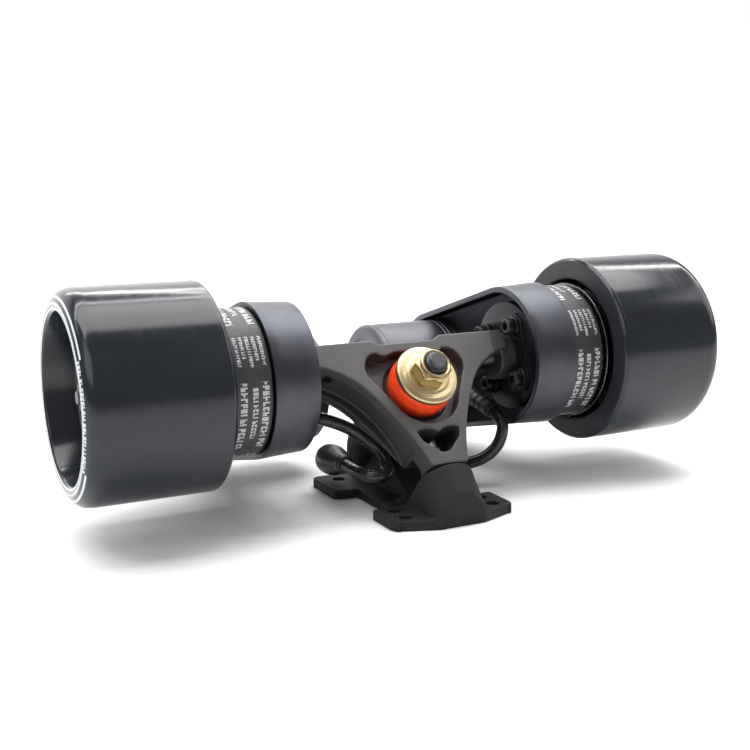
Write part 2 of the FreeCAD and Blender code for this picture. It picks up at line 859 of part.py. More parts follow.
def rotor(name, side):
    shaft = new_body(name + "_motor_shaft", MOTOR)
    turn_on_axle(shaft, side, [(19.2, 0), ("shaft_end", 0), ("shaft_end", "shaft_radius"), (19.2, "shaft_radius")])
    core = new_body(name + "_rotor", MOTOR)
    turn_on_axle(core, side, [(28.0, 4.02), (48.0, 4.02), (48.0, "rotor_radius"), (28.0, "rotor_radius")])

    pulley = new_body(name + "_motor_pulley", MOTOR)
    turn_on_axle(
        pulley,
        side,
        [
            (70.0, 4.02),
            (87.8, 4.02),
            (87.8, 14.6),
            (86.8, 14.6),
            (86.6, "motor_tip"),
            (71.2, "motor_tip"),
            (71.0, 14.6),
            (70.0, 14.6),
        ],
    )
    cut_teeth(pulley, side, 71.2, 86.6, "motor_tip", "motor_teeth")


def cut_teeth(body, side, start, end, tip, teeth):
    radius, depth = value(tip), value("tooth_height")

    def space(sketch):
        polygon(
            sketch,
            [(-1.5, radius + 0.4), (-1.15, radius - depth, 0.25), (1.15, radius - depth), (1.5, radius + 0.4)],
        )

    cut = slab(body, side, start, end, space, "Pocket")
    ring_of_cuts(body, cut, int(value(teeth)))


def drive_belt(name, side):
    body = new_body(name + "_drive_belt", AXLE)

    def band(sketch):
        belt_line(sketch, "belt_out_wheel", "belt_out_motor")
        belt_line(sketch, "belt_in_wheel", "belt_in_motor")

    slab(body, side, "belt_inner", "belt_outer", band)


# ---------------------------------------------------------------- wheels


def wheel(name, side):
    tyre = new_body(name + "_tyre", AXLE)
    turn_on_axle(
        tyre,
        side,
        [
            ("wheel_inner", 32.0),
            ("wheel_inner", 40.4, 0.55 * side),
            (92.1, "wheel_radius"),
            (139.6, "wheel_radius", 0.5 * side),
            (143.8, 40.9, 0.25 * side),
            (145.8, 38.4),
            ("wheel_outer", 37.4),
            ("wheel_outer", 34.4, 0.3 * side),
            (145.2, 33.3),
            (133.0, 31.2),
            (132.0, 30.2),
            (132.0, "core_radius"),
            ("core_inner", "core_radius"),
            (96.0, 30.0),
        ],
    )

    core = new_body(name + "_wheel_core", AXLE)
    turn_on_axle(
        core,
        side,
        [
            ("core_inner", 11.02),
            (107.0, 11.02),
            (107.0, 9.0),
            ("outer_bearing", 9.0),
            ("outer_bearing", 11.02),
            ("core_outer", 11.02),
            ("core_outer", 15.0),
            (121.0, 16.0),
            (121.0, 24.6),
            ("core_outer", 25.4),
            ("core_outer", "core_radius"),
            ("core_inner", "core_radius"),
            ("core_inner", 24.6),
            (110.0, 24.6),
            (110.0, 15.4),
            ("core_inner", 15.4),
        ],
    )

    def window(sketch):
        circle(sketch, 3.4, 0, 20.2)

    cut_windows = slab(core, side, 109.0, 122.0, window, "Pocket")
    ring_of_cuts(core, cut_windows, 6)

    def screw_hole(sketch):
        circle(sketch, 2.05, 9.4, 16.3)

    cut_holes = slab(core, side, 108.0, 122.0, screw_hole, "Pocket")
    ring_of_cuts(core, cut_holes, 6)

    pulley = new_body(name + "_wheel_pulley", AXLE)
    turn_on_axle(
        pulley,
        side,
        [
            ("pulley_inner", 7.0),
            (97.95, 7.0),
            (97.95, 24.4),
            (88.25, 24.4),
            (88.25, "wheel_tip"),
            ("pulley_inner", "wheel_tip"),
        ],
    )
    cut_teeth(pulley, side, "pulley_inner", 88.25, "wheel_tip", "wheel_teeth")
    pulley_holes = slab(pulley, side, "pulley_inner", 97.95, screw_hole, "Pocket")
    ring_of_cuts(pulley, pulley_holes, 6)


def wheel_hardware(name, side):
    flange = new_body(name + "_belt_flange", AXLE)
    turn_on_axle(flange, side, [(88.3, 24.5), (88.3, 31.0), (89.4, 31.0), (89.4, 24.5)])

    screws = []
    angle = math.atan2(16.3, 9.4)
    radius = math.hypot(16.3, 9.4)
    for step in range(6):
        turn_angle = angle + math.radians(60 * step)
        y, z = radius * math.cos(turn_angle), radius * math.sin(turn_angle)
        head = cylinder(side * 68.4, side * 71.0, 3.4, y, z)
        shank = cylinder(side * 71.0, side * 119.0, 1.95, y, z)
        screws.append(head.fuse(shank))
    group(name + "_pulley_screws", screws, AXLE)

    rings = []
    width = value("bearing_width")
    for start in (value("outer_bearing"), value("inner_bearing")):
        outer = cylinder(side * start, side * (start + width), value("bearing_radius"))
        rings.append(outer.cut(cylinder(side * start, side * (start + width), value("axle_radius") + 0.04)))
    group(name + "_wheel_bearings", rings, AXLE)

    spacer = new_body(name + "_bearing_spacer", AXLE)
    turn_on_axle(spacer, side, [(107.05, 4.05), (123.95, 4.05), (123.95, 5.8), (107.05, 5.8)])


# ---------------------------------------------------------------- cables


def straight_and_arcs(points):
    """A path of straight runs joined by tangent arcs, each arc as large as its two runs allow."""
    edges, radii = [], []
    start = points[0]
    for before, corner, after in zip(points, points[1:], points[2:]):
        back, ahead = (before - corner), (after - corner)
        turn_angle = math.pi - back.getAngle(ahead)
        trim = ARC_SHARE * min(back.Length, ahead.Length)
        radii.append(trim / math.tan(turn_angle / 2))
        entry = corner + back.normalize() * trim
        leave = corner + ahead.normalize() * trim
        bisector = (back + ahead).normalize()
        middle = corner + bisector * (radii[-1] / math.cos(turn_angle / 2) - radii[-1])
        edges.append(Part.LineSegment(start, entry).toShape())
        edges.append(Part.Arc(entry, middle, leave).toShape())
        start = leave
    edges.append(Part.LineSegment(start, points[-1]).toShape())
    return Part.Wire(edges), radii


def cable(label, route):
    points = [Vector(*point) for point in route]
    path, radii = straight_and_arcs(points)
    radius = value("cable_radius")
    section = Part.Wire(Part.makeCircle(radius, points[0], points[1] - points[0]))
    shape = path.makePipeShell([section], True, False)
    feature = doc.addObject("Part::Feature", label)
    feature.Label = label
    feature.Shape = shape
    subparts.append(feature)
    expected = math.pi * radius**2 * path.Length
    print("%s: length %.1f mm, volume ratio %.4f" % (label, path.Length, shape.Volume / expected))
    print("  arc radii", ", ".join("%.1f" % item for item in radii))


def along(start, end):
    """A frame at start whose Z axis points to end, and the distance between them."""
    start, end = Vector(*start), Vector(*end)
    return Placement(start, Rotation(Vector(0, 0, 1), end - start)), (end - start).Length


def strain_relief(label, exit_point, cable_start):
    frame, length = along(exit_point, cable_start)
    body = new_body(label, frame)
    radius = value("relief_radius")
    turn(
        body,
        [
            (0, 0),
            (radius + 0.7, 0),
            (radius + 0.5, length * 0.4),
            (radius, length - 0.6),
            (radius - 0.5, length),
            (0, length),
        ],
        plane="XZ_Plane",
        axis="V_Axis",
    )


def plug(label, cable_end, far_end):
    frame, length = along(cable_end, far_end)
    body = new_body(label, frame)
    turn(
        body,
        [
            (0, 0),
            (3.7, 0),
            (4.1, 1.0),
            (5.0, length * 0.32, 0.25),
            ("plug_radius", length * 0.62, 0.2),
            ("plug_radius", length - 1.4),
            (6.2, length),
            (0, length),
        ],
        plane="XZ_Plane",
        axis="V_Axis",
    )


def cables():
    cable("left_motor_cable", LEFT_ROUTE)
    cable("right_motor_cable", RIGHT_ROUTE)
    strain_relief("left_strain_relief", LEFT_MOTOR_EXIT, LEFT_ROUTE[0])
    strain_relief("right_strain_relief", RIGHT_MOTOR_EXIT, RIGHT_ROUTE[0])
    plug("left_plug", LEFT_ROUTE[-1], LEFT_PLUG_END)
    plug("right_plug", RIGHT_ROUTE[-1], RIGHT_PLUG_END)


# ---------------------------------------------------------------- build and write


def build():
    baseplate()
    pivot_cup()
    kingpin()
    kingpin_nut()
    kingpin_stack()
    hanger()
    axle()
    axle_fasteners()
    mount_bolts()
    for name, side in SIDES.items():
        drive_housing(name, side)
        mount_flange(name, side)
        axle_sleeve(name, side)
        motor(name, side)
        rotor(name, side)
        drive_belt(name, side)
        wheel(name, side)
        wheel_hardware(name, side)
    cables()


def write():
    doc.recompute()
    for item in doc.Objects:
        if "Invalid" in item.State or "Error" in item.State:
            raise RuntimeError("%s failed: %s" % (item.Label, item.State))
    os.makedirs("parts", exist_ok=True)
    for item in subparts:
        shape = item.Shape
        if shape.isNull() or not shape.isValid() or not shape.Solids:
            raise RuntimeError("%s has no valid solid" % item.Label)
        shape.exportStep("parts/%s.step" % item.Label)
    print("%d nodes written" % len(subparts))


build()
write()
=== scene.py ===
import json
import math

import bmesh
import bpy
from mathutils import Matrix, Vector


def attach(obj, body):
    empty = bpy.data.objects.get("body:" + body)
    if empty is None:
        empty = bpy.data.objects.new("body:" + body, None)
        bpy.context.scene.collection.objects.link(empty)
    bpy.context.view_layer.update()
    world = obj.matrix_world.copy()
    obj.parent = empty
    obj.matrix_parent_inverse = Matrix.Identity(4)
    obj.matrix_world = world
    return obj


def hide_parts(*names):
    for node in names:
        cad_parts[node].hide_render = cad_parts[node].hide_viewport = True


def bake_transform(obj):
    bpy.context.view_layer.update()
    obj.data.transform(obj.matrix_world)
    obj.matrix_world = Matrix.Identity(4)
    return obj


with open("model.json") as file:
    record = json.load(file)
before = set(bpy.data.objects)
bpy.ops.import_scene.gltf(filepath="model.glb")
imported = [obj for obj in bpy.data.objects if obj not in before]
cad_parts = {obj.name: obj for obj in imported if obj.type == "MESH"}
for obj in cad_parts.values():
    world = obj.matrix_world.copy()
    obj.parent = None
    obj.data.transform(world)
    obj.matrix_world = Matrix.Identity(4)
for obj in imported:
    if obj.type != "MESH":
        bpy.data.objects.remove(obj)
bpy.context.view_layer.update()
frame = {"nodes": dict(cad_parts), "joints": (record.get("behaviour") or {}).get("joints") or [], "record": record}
nodes = frame["nodes"]
joints = {joint["name"]: joint for joint in frame["joints"]}

# Lengths of the part are in millimetres and turned into metres by MM. X runs along the axle, Z is up.
MM = 0.001
SIDES = {"left": -1, "right": 1}
HANGER = "hanger_assembly"
AXLE = Vector(joints["left_wheel_spin"]["pos_m"]) / MM
MOTOR = Vector(joints["left_motor_spin"]["pos_m"]) / MM
RING = Vector(joints["steer"]["pos_m"]) / MM
STEER_AXIS = Vector(joints["steer"]["axis"]).normalized()
KINGPIN_AXIS = Vector((0, -STEER_AXIS.z, STEER_AXIS.y))
X_AXIS = Vector((1, 0, 0))
Z_AXIS = Vector((0, 0, 1))
ON_AXIS = 1e-6  # a radius below this lies on the axis
WELD = 2e-6  # metres within which points of a CAD mesh are one
DRIVE_ANGLE = math.atan2(MOTOR.z - AXLE.z, MOTOR.y - AXLE.y)
DRIVE_REACH = (MOTOR - AXLE).length
ALONG_DRIVE = Vector((0, math.cos(DRIVE_ANGLE), math.sin(DRIVE_ANGLE)))
UP_DRIVE = Vector((0, -math.sin(DRIVE_ANGLE), math.cos(DRIVE_ANGLE)))

BELT_PITCH = 5.0
BELT_INNER_X = 71.4
BELT_OUTER_X = 86.4
WHEEL_PITCH_RADIUS = 28.65
MOTOR_PITCH_RADIUS = 11.94
UV_UNIT = 100.0  # millimetres of belt to one unit of its UV map

CABLE_DIAMETER = 5.5
LEFT_ROUTE = [
    (-44.0, 20.0, 39.0),
    (-38.5, 13.5, 37.8),
    (-31.0, 11.5, 35.2),
    (-24.0, 11.0, 31.7),
    (-17.8, 8.0, 27.0),
    (-13.8, 2.5, 21.8),
    (-13.6, -4.0, 17.0),
    (-18.0, -8.0, 14.4),
    (-24.0, -5.0, 14.8),
    (-26.6, 3.0, 15.8),
    (-26.9, 11.0, 16.2),
]
RIGHT_ROUTE = [
    (47.4, 10.0, 32.3),
    (48.6, 3.5, 29.0),
    (47.6, 2.5, 22.0),
    (44.5, 4.0, 15.5),
    (39.0, 6.5, 11.2),
    (33.0, 10.0, 9.2),
    (28.5, 15.5, 9.6),
    (26.6, 22.0, 10.4),
]
LEFT_MOTOR_EXIT = (-41.9, 49.3, 43.2)
RIGHT_MOTOR_EXIT = (41.8, 48.9, 43.4)
LEFT_PLUG_END = (-25.6, 34.0, 14.2)
RIGHT_PLUG_END = (26.4, 45.0, 11.2)


# ---------------------------------------------------------------- materials


def new_material(name, color, roughness, metallic=0.0):
    material = bpy.data.materials.new(name)
    material.use_nodes = True
    shader = shader_of(material)
    shader.inputs["Base Color"].default_value = (*color, 1)
    shader.inputs["Roughness"].default_value = roughness
    shader.inputs["Metallic"].default_value = metallic
    return material


def add(material, kind, **settings):
    node = material.node_tree.nodes.new("ShaderNode" + kind)
    for name, setting in settings.items():
        setattr(node, name, setting)
    return node


def link(material, source, target):
    material.node_tree.links.new(source, target)


def shader_of(material):
    return material.node_tree.nodes["Principled BSDF"]


def noise(material, per_mm, detail=3.0, stretch=(1, 1, 1)):
    """Noise fixed to the piece, with about that many features to the millimetre."""
    place = add(material, "TexCoord")
    mapping = add(material, "Mapping")
    mapping.inputs["Scale"].default_value = stretch
    link(material, place.outputs["Object"], mapping.inputs["Vector"])
    texture = add(material, "TexNoise")
    texture.inputs["Scale"].default_value = per_mm / MM
    texture.inputs["Detail"].default_value = detail
    link(material, mapping.outputs["Vector"], texture.inputs["Vector"])
    return texture.outputs["Fac"]


def ranged(material, source, low, high, from_low=0.3, from_high=0.7):
    node = add(material, "MapRange")
    node.inputs["From Min"].default_value = from_low
    node.inputs["From Max"].default_value = from_high
    node.inputs["To Min"].default_value = low
    node.inputs["To Max"].default_value = high
    link(material, source, node.inputs["Value"])
    return node.outputs["Result"]


def mixed(material, factor, first, second):
    """Colour from first to second; either may be a colour or another node's output."""
    node = add(material, "Mix", data_type="RGBA")
    link(material, factor, node.inputs["Factor"])
    for socket, color in ((node.inputs["A"], first), (node.inputs["B"], second)):
        if isinstance(color, tuple):
            socket.default_value = (*color, 1)
        else:
            link(material, color, socket)
    return node.outputs["Result"]


def colour(material, source):
    link(material, source, shader_of(material).inputs["Base Color"])


def gloss(material, specular):
    shader_of(material).inputs["Specular IOR Level"].default_value = specular


def roughen(material, source, low, high):
    link(material, ranged(material, source, low, high), shader_of(material).inputs["Roughness"])


def bump(material, source, depth_mm):
    node = add(material, "Bump")
    node.inputs["Distance"].default_value = depth_mm * MM
    node.inputs["Strength"].default_value = 1.0
    link(material, source, node.inputs["Height"])
    link(material, node.outputs["Normal"], shader_of(material).inputs["Normal"])


def math_node(material, operation, first, second=0.0, clamp=False):
    node = add(material, "Math", operation=operation, use_clamp=clamp)
    for socket, number in zip(node.inputs, (first, second)):
        if isinstance(number, (int, float)):
            socket.default_value = number
        else:
            link(material, number, socket)
    return node.outputs["Value"]


def cast_paint(name, color, lighter, low=0.4, high=0.52, specular=0.62):
    """Matte powder coat over a casting, with fine orange peel and faint mottling."""
    material = new_material(name, color, 0.5)
    mottle = noise(material, 0.06, 4)
    colour(material, mixed(material, ranged(material, mottle, 0, 1), color, lighter))
    roughen(material, noise(material, 0.9, 2), low, high)
    bump(material, noise(material, 1.6, 4), 0.07)
    gloss(material, specular)
    return material


def anodised(name, color, lighter, low=0.32, high=0.44):
    """Bead-blasted and anodised aluminium."""
    material = new_material(name, color, 0.4, metallic=0.85)
    colour(material, mixed(material, ranged(material, noise(material, 0.08, 3), 0, 1), color, lighter))
    roughen(material, noise(material, 3.0, 2), low, high)
    bump(material, noise(material, 5.0, 2), 0.02)
    return material


def turned_metal(name, color, lighter, low=0.18, high=0.34):
    """Machined steel or aluminium with fine marks that run round X."""
    material = new_material(name, color, 0.25, metallic=1.0)
    lines = noise(material, 1.2, 5, stretch=(8, 0.3, 0.3))
    colour(material, mixed(material, ranged(material, lines, 0, 1), color, lighter))
    roughen(material, noise(material, 0.5, 4), low, high)
    bump(material, lines, 0.01)
    return material


def zinc_plate():
    """Yellow zinc plating with an uneven bloom."""
    gold, pale, copper = (0.46, 0.34, 0.17), (0.62, 0.51, 0.32), (0.36, 0.23, 0.12)
    material = new_material("yellow_zinc", gold, 0.25, metallic=1.0)
    bloom = mixed(material, ranged(material, noise(material, 0.07, 2), 0, 1), gold, pale)
    tint = ranged(material, noise(material, 0.12, 2), 0, 0.35, 0.5, 0.7)
    colour(material, mixed(material, tint, bloom, copper))
    roughen(material, noise(material, 0.3, 3), 0.3, 0.4)
    bump(material, noise(material, 0.5, 2), 0.003)
    return material


def rubber(name, color, low=0.42, high=0.6, specular=0.5, grain=0.012):
    material = new_material(name, color, 0.5)
    lighter = tuple(channel * 1.5 + 0.004 for channel in color)
    colour(material, mixed(material, ranged(material, noise(material, 0.15, 4), 0, 1), color, lighter))
    roughen(material, noise(material, 0.6, 4), low, high)
    bump(material, noise(material, 2.4, 3), grain)
    gloss(material, specular)
    return material


def urethane_bushing():
    material = new_material("orange_urethane", (0.80, 0.06, 0.012), 0.35)
    tone = ranged(material, noise(material, 0.1, 3), 0, 1)
    colour(material, mixed(material, tone, (0.86, 0.05, 0.010), (0.92, 0.075, 0.016)))
    roughen(material, noise(material, 0.7, 3), 0.3, 0.45)
    bump(material, noise(material, 1.5, 3), 0.02)
    shader_of(material).inputs["Subsurface Weight"].default_value = 0.25
    shader_of(material).inputs["Subsurface Scale"].default_value = 0.004
    return material


def band(material, source, low, high):
    """One where the source lies between two numbers, else zero."""
    above = math_node(material, "GREATER_THAN", source, low)
    return math_node(material, "MULTIPLY", above, math_node(material, "LESS_THAN", source, high))


def print_marks(material, along, across, rows, repeat):
    """A mask of generic printed blocks. Each is a stem with arms on some of its three levels.

    along and across are in millimetres. rows are (start, end, first, last): the band across the
    surface, and the stretch of each repeat along it that the blocks fill."""
    block_by_height, stem_by_block, arm_by_block = 0.72, 0.34, 0.78
    levels, share_without_arm = 3.0, 0.45
    # the shift by whole repeats keeps the remainder positive
    local = math_node(material, "MODULO", math_node(material, "ADD", along, repeat * 40), repeat)
    total = None
    for start, end, first, last in rows:
        height = end - start
        column = math_node(material, "DIVIDE", along, block_by_height * height)
        index = math_node(material, "FLOOR", column)
        part = math_node(material, "FRACT", column)
        level = math_node(material, "DIVIDE", math_node(material, "SUBTRACT", across, start), height)
        line = math_node(material, "FLOOR", math_node(material, "MULTIPLY", level, levels))
        seed = add(material, "CombineXYZ")
        link(material, index, seed.inputs["X"])
        link(material, line, seed.inputs["Y"])
        seed.inputs["Z"].default_value = start
        random = add(material, "TexWhiteNoise", noise_dimensions="3D")
        link(material, seed.outputs["Vector"], random.inputs["Vector"])
        stem = math_node(material, "LESS_THAN", part, stem_by_block)
        arm = math_node(material, "LESS_THAN", part, arm_by_block)
        chosen = math_node(material, "GREATER_THAN", random.outputs["Value"], share_without_arm)
        shape = math_node(material, "MAXIMUM", stem, math_node(material, "MULTIPLY", arm, chosen))
        inside = band(material, across, start, end)
        span = band(material, local, first, last)
        mask = math_node(material, "MULTIPLY", shape, math_node(material, "MULTIPLY", inside, span))
        total = mask if total is None else math_node(material, "MAXIMUM", total, mask)
    worn = ranged(material, noise(material, 1.6, 4), 0.35, 1.0, 0.3, 0.5)
    return math_node(material, "MULTIPLY", total, worn, clamp=True)


def tyre_material():
    """Glossy black cast urethane, with generic white print on the outer face."""
    black, smoky, white = (0.0085, 0.0105, 0.014), (0.016, 0.019, 0.025), (0.62, 0.66, 0.72)
    print_from_x, inner_face_to_x = 0.1438, 0.0902
    print_radius, bead_length = 37.0, 1.5
    lettering_from, lettering_turn = 0.55, 1.15
    material = new_material("tyre_black", black, 0.12)
    base = mixed(material, ranged(material, noise(material, 0.05, 4, (0.35, 1, 1)), 0, 1), black, smoky)
    place = add(material, "TexCoord")
    parts = add(material, "SeparateXYZ")
    link(material, place.outputs["Object"], parts.inputs["Vector"])
    x = math_node(material, "ABSOLUTE", parts.outputs["X"])
    y = math_node(material, "SUBTRACT", parts.outputs["Y"], AXLE.y * MM)
    z = math_node(material, "SUBTRACT", parts.outputs["Z"], AXLE.z * MM)
    y_squared = math_node(material, "MULTIPLY", y, y)
    z_squared = math_node(material, "MULTIPLY", z, z)
    squares = math_node(material, "ADD", y_squared, z_squared)
    radius = math_node(material, "DIVIDE", math_node(material, "SQRT", squares), MM)
    turn = math_node(material, "ADD", math_node(material, "ARCTAN2", z, y), math.pi)
    along = math_node(material, "MULTIPLY", turn, print_radius)
    # each half of the face has a stretch of lettering, then one of a ring and beads
    half_turn = math_node(material, "MODULO", math_node(material, "ADD", turn, lettering_from), math.pi)
    lettered = band(material, half_turn, 0.0, lettering_turn)
    plain = math_node(material, "SUBTRACT", 1.0, lettered)
    unbroken = 100.0
    letters = print_marks(material, along, radius, [(36.3, 38.5, 0.0, unbroken)], unbroken)
    bead = math_node(material, "FRACT", math_node(material, "DIVIDE", along, bead_length))
    bead_row = band(material, radius, 36.2, 37.0)
    beads = math_node(material, "MULTIPLY", bead_row, band(material, bead, 0.0, 0.5))
    ringed = math_node(material, "MAXIMUM", band(material, radius, 38.6, 39.4), beads)
    lettering = math_node(material, "MULTIPLY", letters, lettered)
    ringing = math_node(material, "MULTIPLY", ringed, plain)
    marks = math_node(material, "MAXIMUM", lettering, ringing)
    marks = math_node(material, "MAXIMUM", marks, band(material, radius, 34.3, 34.8))
    outer_face = math_node(material, "GREATER_THAN", x, print_from_x)
    marks = math_node(material, "MULTIPLY", marks, outer_face)
    colour(material, mixed(material, marks, base, white))
    shine = ranged(material, noise(material, 0.9, 4, (1, 0.03, 0.03)), 0.13, 0.21)
    # the inner face is duller than the rest
    inner_face = math_node(material, "LESS_THAN", x, inner_face_to_x)
    dull = math_node(material, "ADD", shine, math_node(material, "MULTIPLY", inner_face, 0.3))
    link(material, dull, shader_of(material).inputs["Roughness"])
    bump(material, noise(material, 0.07, 1, (0.6, 1, 1)), 0.012)
    gloss(material, 0.42)
    return material


def belt_material():
    """Black belt back with generic white print, placed by the mesh's UV map."""
    material = new_material("belt_rubber", (0.02, 0.021, 0.023), 0.5)
    place = add(material, "UVMap")
    parts = add(material, "SeparateXYZ")
    link(material, place.outputs["UV"], parts.inputs["Vector"])
    along = math_node(material, "MULTIPLY", parts.outputs["X"], UV_UNIT)
    across = math_node(material, "MULTIPLY", parts.outputs["Y"], UV_UNIT)
    repeat = 53.0
    rows = [
        (1.6, 4.4, 2.0, 31.0),
        (6.2, 8.4, 4.0, 25.0),
        (10.6, 13.4, 2.0, 31.0),
        (1.8, 3.2, 37.0, 49.0),
        (4.4, 5.8, 37.0, 47.0),
        (7.0, 8.4, 37.0, 49.5),
        (9.6, 11.0, 37.0, 46.0),
        (12.0, 13.4, 37.0, 49.0),
    ]
    marks = print_marks(material, along, across, rows, repeat)
    weave = ranged(material, noise(material, 0.3, 4), 0, 1)
    base = mixed(material, weave, (0.020, 0.021, 0.023), (0.036, 0.037, 0.040))
    colour(material, mixed(material, marks, base, (0.50, 0.51, 0.52)))
    roughen(material, noise(material, 0.8, 3), 0.42, 0.58)
    bump(material, noise(material, 1.8, 3), 0.04)
    return material


def stator_material():
    """Copper windings seen through the motor."""
    material = new_material("stator_copper", (0.42, 0.16, 0.07), 0.35, metallic=0.9)
    strands = noise(material, 1.0, 3, stretch=(0.15, 1, 1))
    tone = ranged(material, strands, 0, 1)
    colour(material, mixed(material, tone, (0.34, 0.12, 0.05), (0.60, 0.26, 0.12)))
    roughen(material, strands, 0.25, 0.45)
    bump(material, strands, 0.1)
    return material


def floor_material():
    material = new_material("floor_white", (0.86, 0.87, 0.87), 0.6)
    tone = ranged(material, noise(material, 0.004, 3), 0, 1)
    colour(material, mixed(material, tone, (0.855, 0.865, 0.865), (0.88, 0.885, 0.885)))
    gloss(material, 0.2)
    return material


MATERIALS = {
    "cast_black": cast_paint("cast_black", (0.031, 0.0285, 0.0295), (0.040, 0.037, 0.037)),
    "base_black": cast_paint("base_black", (0.010, 0.010, 0.012), (0.016, 0.016, 0.018), 0.58, 0.7, 0.25),
    "anodised_dark": anodised("anodised_dark", (0.054, 0.056, 0.066), (0.070, 0.072, 0.084)),
    # black anodised finish; also used as painted shade inside the drive shells and on the clamp flange
    "anodised_black": anodised("anodised_black", (0.018, 0.018, 0.021), (0.03, 0.03, 0.034)),
    "motor_grey": anodised("motor_grey", (0.07, 0.07, 0.08), (0.09, 0.09, 0.10), 0.38, 0.48),
    "pulley_metal": turned_metal("pulley_metal", (0.11, 0.11, 0.12), (0.2, 0.2, 0.21)),
    "black_oxide": turned_metal("black_oxide", (0.045, 0.045, 0.05), (0.085, 0.085, 0.092), 0.3, 0.45),
    "steel": turned_metal("steel", (0.34, 0.34, 0.36), (0.52, 0.52, 0.54)),
    "bright_steel": turned_metal("bright_steel", (0.45, 0.45, 0.47), (0.68, 0.68, 0.70), 0.12, 0.24),
    "rotor_steel": turned_metal("rotor_steel", (0.2, 0.2, 0.21), (0.32, 0.32, 0.34)),
    "yellow_zinc": zinc_plate(),
    "orange_urethane": urethane_bushing(),
    "black_rubber": rubber("black_rubber", (0.016, 0.016, 0.018), 0.34, 0.46, grain=0.008),
    "cable_black": rubber("cable_black", (0.012, 0.012, 0.014), 0.24, 0.28, grain=0.0),
    "core_plastic": rubber("core_plastic", (0.02, 0.021, 0.023), 0.3, 0.42),
    "tyre_black": tyre_material(),
    "belt_rubber": belt_material(),
    "stator_copper": stator_material(),
}


def finish_of(node):
    """The record's material slot for a CAD node."""
    for entry in frame["record"]["subparts"]:
        if entry["node"] == node:
            return entry["material_slot"]
    raise KeyError(node)


def paint(piece, slot, material=None):
    piece.data.materials.clear()
    piece.data.materials.append(MATERIALS[material or slot])


# ---------------------------------------------------------------- shapes


def add_piece(name, mesh, body, slot, replaces=(), material=None):
    piece = bpy.data.objects.new(name, mesh)
    bpy.context.scene.collection.objects.link(piece)
    paint(piece, slot, material)
    if body:
        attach(piece, body)
    if replaces:
        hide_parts(*replaces)
    return piece


def shade(mesh, sharp_degrees=38):
    mesh.shade_smooth()
    mesh.set_sharp_from_angle(angle=math.radians(sharp_degrees))


def mesh_of(name, points, faces, sharp_degrees=38):
    """A mesh from points in millimetres."""
    mesh = bpy.data.meshes.new(name)
    mesh.from_pydata([tuple(Vector(point) * MM) for point in points], [], faces)
    tidy = bmesh.new()
    tidy.from_mesh(mesh)
    bmesh.ops.remove_doubles(tidy, verts=tidy.verts, dist=1e-7)
    bmesh.ops.recalc_face_normals(tidy, faces=tidy.faces)
    tidy.to_mesh(mesh)
    tidy.free()
    shade(mesh, sharp_degrees)
    return mesh


def sideways(axis):
    """Two directions at right angles to a unit axis and to each other."""
    side = axis.cross(X_AXIS if abs(axis.x) < 0.9 else Z_AXIS).normalized()
    return side, axis.cross(side)


def rounded(profile, radius, steps=3):
    """A closed outline with its corners rounded, as far as the edges beside them allow.

    A corner given as (distance, radius, rounding) has its own rounding."""
    result = []
    count = len(profile)
    for index in range(count):
        corner = Vector(profile[index][:2])
        before, after = Vector(profile[index - 1][:2]), Vector(profile[(index + 1) % count][:2])
        back, ahead = before - corner, after - corner
        wanted = profile[index][2] if len(profile[index]) == 3 else radius
        reach = min(wanted, back.length * 0.45, ahead.length * 0.45)
        if corner.y < ON_AXIS or reach < 1e-4:
            result.append(tuple(corner))
            continue
        start, end = corner + back.normalized() * reach, corner + ahead.normalized() * reach
        for step in range(steps + 1):
            t = step / steps
            point = start * (1 - t) ** 2 + corner * 2 * t * (1 - t) + end * t**2
            result.append(tuple(point))
    return result


def lathe(name, profile, centre, axis, segments=96, radius_change=None):
    """A closed outline of (distance along the axis, radius) turned about an axis through centre."""
    axis = axis.normalized()
    side, other = sideways(axis)
    points, faces = [], []
    count = len(profile)
    for step in range(segments):
        angle = 2 * math.pi * step / segments
        outward = side * math.cos(angle) + other * math.sin(angle)
        for distance, radius in profile:
            extra = radius_change(distance, angle) if radius_change and radius > ON_AXIS else 0.0
            points.append(centre + axis * distance + outward * (radius + extra))
    for step in range(segments):
        here, ahead = step * count, (step + 1) % segments * count
        for index in range(count):
            after = (index + 1) % count
            if profile[index][1] < ON_AXIS and profile[after][1] < ON_AXIS:
                continue
            faces.append((here + index, here + after, ahead + after, ahead + index))
    return mesh_of(name, points, faces)


def softened(node, name, body, width, material=None, merge=0.6):
    """A copy of a CAD node with its edges bevelled, which stands for the node.

    Faces that meet at less than merge degrees are joined first."""
    mesh = nodes[node].data.copy()
    mesh.name = name
    shape = bmesh.new()
    shape.from_mesh(mesh)
    bmesh.ops.remove_doubles(shape, verts=shape.verts, dist=WELD)
    bmesh.ops.dissolve_limit(shape, angle_limit=math.radians(merge), verts=shape.verts, edges=shape.edges)
    shape.to_mesh(mesh)
    shape.free()
    piece = add_piece(name, mesh, body, finish_of(node), (node,), material)
    bevel = piece.modifiers.new("edges", "BEVEL")
    bevel.width = width * MM
    bevel.segments = 2
    bevel.limit_method = "ANGLE"
    bevel.angle_limit = math.radians(32)
    settle(piece)
    shade(piece.data)
    return piece


def casting(node, name, body, material=None):
    """A copy of a CAD node with the soft edges of a casting, which stands for the node."""
    voxel, passes = 0.4, 5
    mesh = nodes[node].data.copy()
    mesh.name = name
    piece = add_piece(name, mesh, body, finish_of(node), (node,), material)
    weld = piece.modifiers.new("weld", "WELD")
    weld.merge_threshold = WELD
    remesh = piece.modifiers.new("skin", "REMESH")
    remesh.mode = "VOXEL"
    remesh.voxel_size = voxel * MM
    smooth = piece.modifiers.new("soften", "SMOOTH")
    smooth.factor = 0.5
    smooth.iterations = passes
    settle(piece)
    piece.data.shade_smooth()


